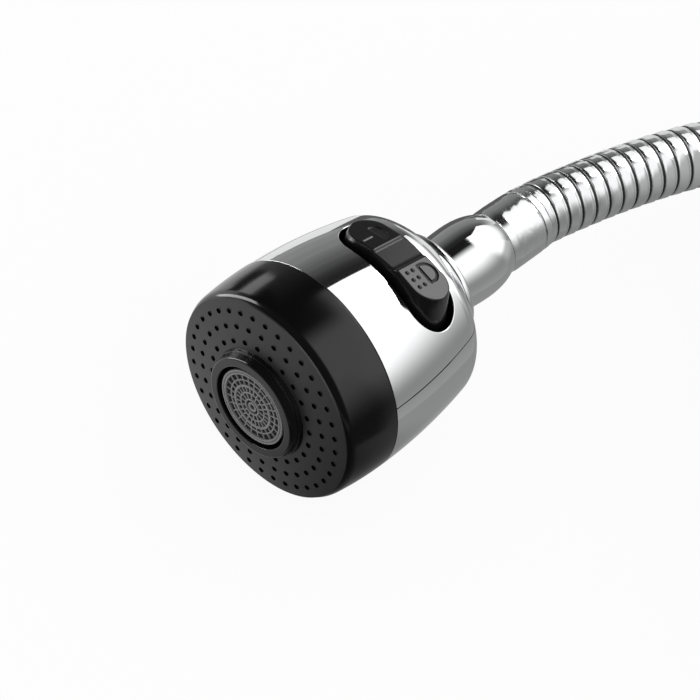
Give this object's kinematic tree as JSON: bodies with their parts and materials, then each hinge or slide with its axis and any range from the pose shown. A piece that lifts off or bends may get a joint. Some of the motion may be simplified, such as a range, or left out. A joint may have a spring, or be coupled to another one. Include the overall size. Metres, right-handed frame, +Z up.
{
  "type": "handheld bath sprayer",
  "caption": "Handheld bath sprayer with a round two-mode spray head, a rocker diverter on top, a swivel neck and a coiled metal hose with a threaded nut.",
  "frame": {"origin": "on the floor under the middle of the head and neck", "axes": "+Y along the head's axis from the spray face toward the hose, +Z up through the rocker, +X to the right seen from the spray face's rear"},
  "size_m": [0.2495, 0.2632, 0.0568],
  "materials": {
    "chrome": "mirror-bright chrome plating",
    "gloss_black": "gloss black moulding",
    "satin_black": "satin black moulding",
    "plate_grey": "matte dark grey moulding",
    "insert_grey": "matte mid grey moulding",
    "seal_rubber": "black sealing rubber",
    "valve_plastic": "dark glass-filled moulding",
    "slip_plastic": "natural low-friction plastic",
    "steel": "bright stainless steel",
    "brass": "turned brass",
    "hose_strip": "polished interlocked metal strip",
    "strap_fabric": "woven black strap"
  },
  "bodies": {
    "hose": {"swivel_stem": "brass", "stem_seals": "seal_rubber", "hose_ferrule": "chrome", "hose_lead": "hose_strip", "hose_coil": "hose_strip", "hose_tail": "hose_strip", "coil_tie": "strap_fabric", "end_ferrule": "chrome", "end_stub": "brass"},
    "head": {"front_bezel": "gloss_black", "spray_plate": "plate_grey", "plate_gasket": "seal_rubber", "aerator_housing": "gloss_black", "aerator_insert": "insert_grey", "aerator_screen": "steel", "aerator_washer": "seal_rubber", "water_manifold": "valve_plastic", "manifold_screws": "steel", "shell_screws": "steel", "main_body": "chrome", "top_cover": "chrome", "trim_ring": "chrome", "neck_sleeve": "chrome", "valve_body": "valve_plastic", "barrel_plugs": "valve_plastic", "plug_seals": "seal_rubber", "pivot_seal": "seal_rubber", "rocker_pin": "steel", "inlet_strainer": "steel", "thrust_washer": "slip_plastic", "slip_washer": "slip_plastic"},
    "rocker": {"rocker": "satin_black"},
    "spool": {"diverter_spool": "brass", "spool_seals": "seal_rubber"},
    "nut": {"hose_nut": "chrome", "nut_washer": "seal_rubber"}
  },
  "joints": [
    {"name": "head_swivel", "type": "hinge", "parent": "hose", "child": "head", "pos_m": [0, 0.02675, 0.0275], "axis": [0, 1, 0], "continuous": true},
    {"name": "rocker_tilt", "type": "hinge", "parent": "head", "child": "rocker", "pos_m": [0, -0.00115, 0.0451], "axis": [0, 1, 0], "range_deg": [0, 18]},
    {"name": "spool_slide", "type": "slide", "parent": "head", "child": "spool", "axis": [1, 0, 0], "range_m": [-0.00458, 0]},
    {"name": "nut_spin", "type": "hinge", "parent": "hose", "child": "nut", "pos_m": [0.15032, 0.03276, 0.0444], "axis": [-0.7055, -0.7087, 0], "continuous": true}
  ],
  "couplings": [
    {"joint": "spool_slide", "follows": "rocker_tilt", "m_per_rad": -0.014579}
  ]
}
